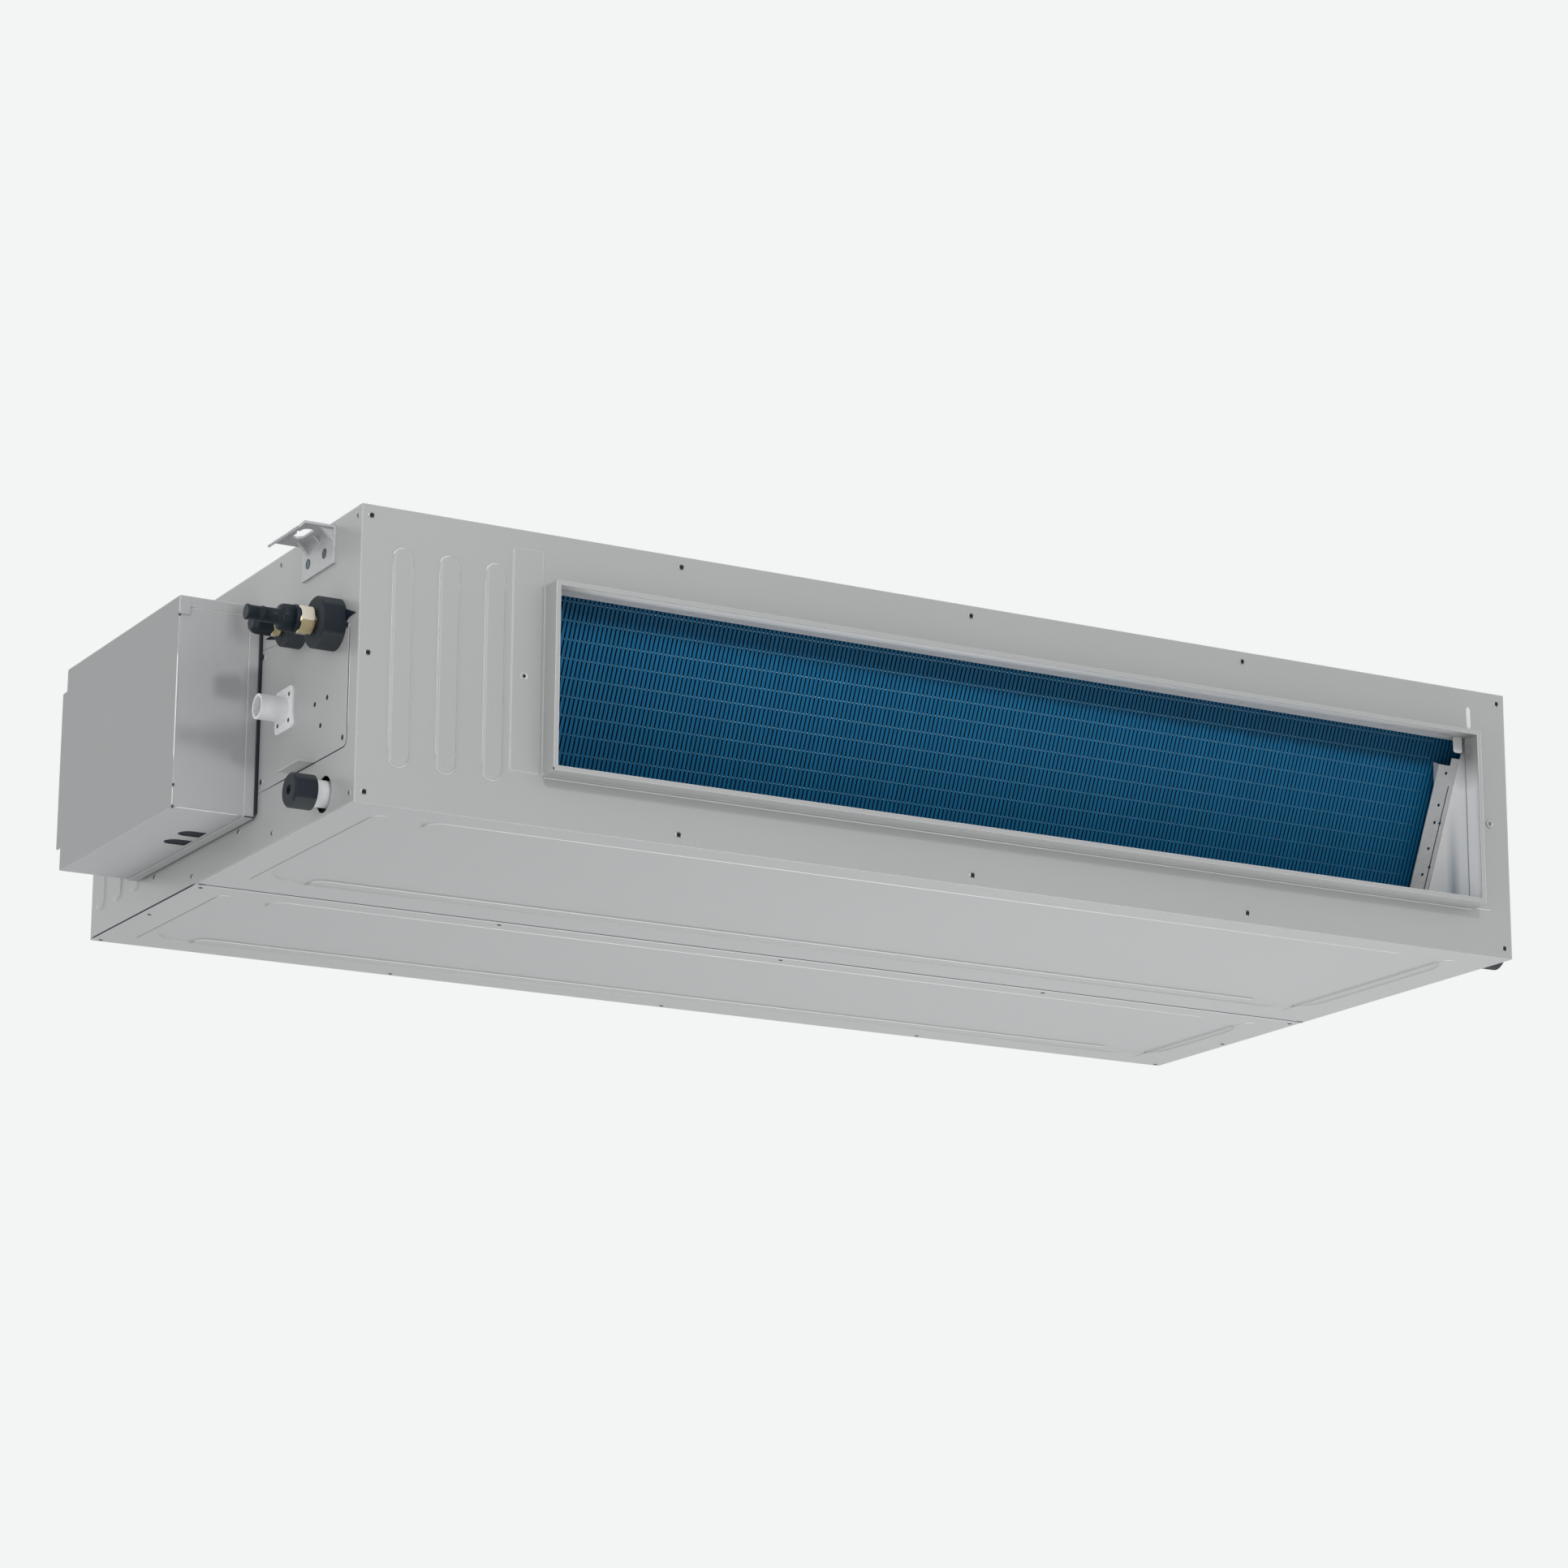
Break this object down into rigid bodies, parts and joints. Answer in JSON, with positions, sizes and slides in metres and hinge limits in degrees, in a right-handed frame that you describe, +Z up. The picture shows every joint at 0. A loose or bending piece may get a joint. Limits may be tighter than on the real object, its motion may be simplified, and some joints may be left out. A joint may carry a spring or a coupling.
{
  "type": "ducted air conditioner",
  "caption": "Ceiling-void air conditioner with a folded supply collar, leaning finned coil, twin fans in scroll housings, drain pump, flare joints, hanger brackets and an electric box.",
  "frame": {"origin": "middle of the casing's underside", "axes": "+X along the casing to the end away from the pipes, +Y from the outlet to the return air side, +Z up"},
  "size_m": [1.5209, 0.7409, 0.3],
  "materials": {
    "casing_sheet": "satin",
    "box_sheet": "satin",
    "bracket_steel": "satin galvanised",
    "inner_steel": "satin galvanised",
    "screw_steel": "zinc plated",
    "blue_fins": "blue coated",
    "copper_tube": "satin copper",
    "brass_fitting": "machined",
    "liner_sheet": "satin white",
    "white_foam": "moulded foam",
    "black_cap": "satin",
    "black_foam": "closed cell foam",
    "white_plastic": "satin",
    "pump_plastic": "satin",
    "hose_rubber": "matt",
    "motor_paint": "satin",
    "fan_plastic": "satin",
    "filter_plastic": "matt",
    "board_green": "coated",
    "terminal_plastic": "satin"
  },
  "bodies": {
    "casing": {"bracket_screws": "screw_steel", "casing_screws": "screw_steel", "coil_end_plate_left": "inner_steel", "coil_end_plate_right": "inner_steel", "coil_fins": "blue_fins", "coil_tubes": "copper_tube", "control_board": "board_green", "drain_pan": "white_foam", "drain_plugs": "black_foam", "drain_sockets": "white_plastic", "electric_box_base": "box_sheet", "electric_box_cover": "box_sheet", "fan_deck": "inner_steel", "fan_motor": "motor_paint", "fan_scroll_left_lower": "fan_plastic", "fan_scroll_left_upper": "fan_plastic", "fan_scroll_right_lower": "fan_plastic", "fan_scroll_right_upper": "fan_plastic", "float_stem": "pump_plastic", "front_bottom_panel": "casing_sheet", "front_outlet_panel": "casing_sheet", "gas_flare_nut": "brass_fitting", "gas_pipe": "copper_tube", "gas_pipe_cap": "black_cap", "gas_pipe_sleeve": "black_foam", "hanger_bracket_front_left": "bracket_steel", "hanger_bracket_front_right": "bracket_steel", "hanger_bracket_rear_left": "bracket_steel", "hanger_bracket_rear_right": "bracket_steel", "left_lining": "liner_sheet", "left_side_panel": "casing_sheet", "liquid_distributor": "brass_fitting", "liquid_flare_nut": "brass_fitting", "liquid_pipe": "copper_tube", "liquid_pipe_cap": "black_cap", "liquid_pipe_sleeve": "black_foam", "motor_cradle": "inner_steel", "motor_straps": "inner_steel", "pipe_cover_plate": "casing_sheet", "pipe_seal": "black_foam", "pump_hose": "hose_rubber", "pump_housing": "pump_plastic", "pump_motor": "motor_paint", "pump_outlet_stub": "white_plastic", "rear_bottom_panel": "casing_sheet", "rear_inlet_frame": "casing_sheet", "right_lining": "liner_sheet", "right_side_panel": "casing_sheet", "suction_header": "copper_tube", "terminal_block": "terminal_plastic", "top_lining": "white_foam", "top_panel": "casing_sheet"},
    "fan_rotor": {"fan_shaft": "inner_steel", "fan_wheel_left": "fan_plastic", "fan_wheel_right": "fan_plastic"},
    "left_filter": {"filter_left": "filter_plastic"},
    "right_filter": {"filter_right": "filter_plastic"},
    "float": {"float_ring": "pump_plastic"},
    "impeller": {"pump_impeller": "pump_plastic"}
  },
  "joints": [
    {"name": "fan_rotation", "type": "hinge", "parent": "casing", "child": "fan_rotor", "pos_m": [0, 0.195, 0.15], "axis": [1, 0, 0], "continuous": true},
    {"name": "left_filter_slide", "type": "slide", "parent": "casing", "child": "left_filter", "axis": [-1, 0, 0], "range_m": [0, 0.66]},
    {"name": "right_filter_slide", "type": "slide", "parent": "casing", "child": "right_filter", "axis": [1, 0, 0], "range_m": [0, 0.66]},
    {"name": "float_rise", "type": "slide", "parent": "casing", "child": "float", "axis": [0, 0, 1], "range_m": [0, 0.012]},
    {"name": "pump_rotation", "type": "hinge", "parent": "casing", "child": "impeller", "pos_m": [-0.5885, -0.1746, 0.03], "axis": [0, 0, 1], "continuous": true}
  ]
}
